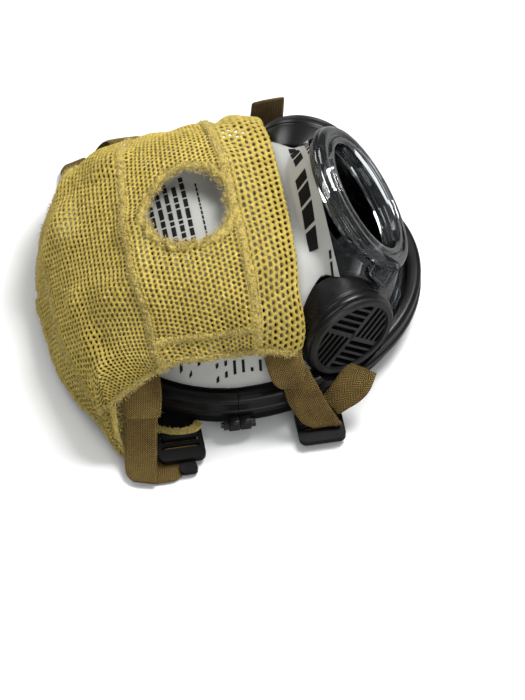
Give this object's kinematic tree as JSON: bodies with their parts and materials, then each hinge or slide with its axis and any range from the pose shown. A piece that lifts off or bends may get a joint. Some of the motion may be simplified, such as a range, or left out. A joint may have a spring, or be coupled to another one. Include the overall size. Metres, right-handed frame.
{
  "type": "full-face breathing facepiece",
  "caption": "Full-face breathing facepiece with clear lens, round regulator port, side voicemitters, rubber face seal and a mesh head harness folded over the lens.",
  "frame": {"origin": "middle of the bounding box on the plane the face seal rests on", "axes": "+Z out through the lens, +Y towards the forehead end, +X towards the wearer's left"},
  "size_m": [0.2358, 0.2121, 0.1144],
  "materials": {
    "clear_lens": "clear moulded polycarbonate",
    "frame_black": "fine matt moulded",
    "seal_rubber": "matt moulded rubber",
    "cup_rubber": "matt moulded rubber",
    "valve_rubber": "smooth thin rubber",
    "grille_black": "satin moulded",
    "diaphragm_film": "thin film in a moulded rim",
    "screw_steel": "satin stainless",
    "cover_sheet": "thin white film with plain grey bars",
    "net_yellow": "open knitted aramid mesh",
    "strap_brown": "woven elastic",
    "buckle_black": "satin moulded"
  },
  "bodies": {
    "facepiece": {"lens": "clear_lens", "upper_frame": "frame_black", "lower_frame": "frame_black", "frame_screws": "screw_steel", "frame_nuts": "screw_steel", "face_seal": "seal_rubber", "nose_cup": "cup_rubber", "valve_seat_left": "grille_black", "valve_seat_right": "grille_black", "voicemitter_housing_left": "frame_black", "voicemitter_housing_right": "frame_black", "voicemitter_gasket_left": "seal_rubber", "voicemitter_gasket_right": "seal_rubber", "voicemitter_diaphragm_left": "diaphragm_film", "voicemitter_diaphragm_right": "diaphragm_film", "voicemitter_grille_left": "grille_black", "voicemitter_grille_right": "grille_black", "lens_cover_sheet": "cover_sheet", "temple_strap_left": "strap_brown", "temple_strap_right": "strap_brown", "neck_strap_left": "strap_brown", "neck_strap_right": "strap_brown"},
    "harness": {"head_net": "net_yellow"},
    "temple_buckle_left_body": {"temple_buckle_left": "buckle_black", "temple_buckle_pin_left": "screw_steel"},
    "neck_buckle_left_body": {"neck_buckle_left": "buckle_black", "neck_buckle_pin_left": "screw_steel"},
    "neck_strap_tail_left_body": {"neck_strap_tail_left": "strap_brown"},
    "temple_strap_tip_left_body": {"temple_strap_tip_left": "buckle_black"},
    "inhalation_valve_left_body": {"inhalation_valve_left": "valve_rubber"},
    "temple_buckle_right_body": {"temple_buckle_right": "buckle_black", "temple_buckle_pin_right": "screw_steel"},
    "neck_buckle_right_body": {"neck_buckle_right": "buckle_black", "neck_buckle_pin_right": "screw_steel"},
    "neck_strap_tail_right_body": {"neck_strap_tail_right": "strap_brown"},
    "temple_strap_tip_right_body": {"temple_strap_tip_right": "buckle_black"},
    "inhalation_valve_right_body": {"inhalation_valve_right": "valve_rubber"}
  },
  "joints": [
    {"name": "harness_fold", "type": "hinge", "parent": "facepiece", "child": "harness", "pos_m": [0, 0.0488, 0.005], "axis": [-1, 0, 0], "range_deg": [0, 100], "deforming": ["temple_strap_left", "temple_strap_right", "neck_strap_left", "neck_strap_right"]},
    {"name": "temple_buckle_swivel_left", "type": "hinge", "parent": "facepiece", "child": "temple_buckle_left_body", "pos_m": [0.086, 0.0418, 0.005], "axis": [0, -1, 0], "range_deg": [0, 40]},
    {"name": "neck_buckle_swivel_left", "type": "hinge", "parent": "facepiece", "child": "neck_buckle_left_body", "pos_m": [0.086, -0.0342, 0.005], "axis": [0, -1, 0], "range_deg": [0, 40], "deforming": ["neck_strap_left", "neck_strap_tail_left"]},
    {"name": "neck_strap_pull_left", "type": "slide", "parent": "facepiece", "child": "neck_strap_tail_left_body", "axis": [-0.2494, -0.8105, 0.53], "range_m": [0, 0.02], "deforming": ["neck_strap_tail_left"]},
    {"name": "temple_strap_pull_left", "type": "slide", "parent": "facepiece", "child": "temple_strap_tip_left_body", "axis": [1, 0, 0], "range_m": [0, 0.012]},
    {"name": "inhalation_valve_lift_left", "type": "slide", "parent": "facepiece", "child": "inhalation_valve_left_body", "axis": [-1, 0, 0], "range_m": [0, 0.0015]},
    {"name": "temple_buckle_swivel_right", "type": "hinge", "parent": "facepiece", "child": "temple_buckle_right_body", "pos_m": [-0.086, 0.0418, 0.005], "axis": [0, 1, 0], "range_deg": [0, 40]},
    {"name": "neck_buckle_swivel_right", "type": "hinge", "parent": "facepiece", "child": "neck_buckle_right_body", "pos_m": [-0.086, -0.0342, 0.005], "axis": [0, 1, 0], "range_deg": [0, 40], "deforming": ["neck_strap_right", "neck_strap_tail_right"]},
    {"name": "neck_strap_pull_right", "type": "slide", "parent": "facepiece", "child": "neck_strap_tail_right_body", "axis": [0.2494, -0.8105, 0.53], "range_m": [0, 0.02], "deforming": ["neck_strap_tail_right"]},
    {"name": "temple_strap_pull_right", "type": "slide", "parent": "facepiece", "child": "temple_strap_tip_right_body", "axis": [-1, 0, 0], "range_m": [0, 0.012]},
    {"name": "inhalation_valve_lift_right", "type": "slide", "parent": "facepiece", "child": "inhalation_valve_right_body", "axis": [1, 0, 0], "range_m": [0, 0.0015]}
  ]
}
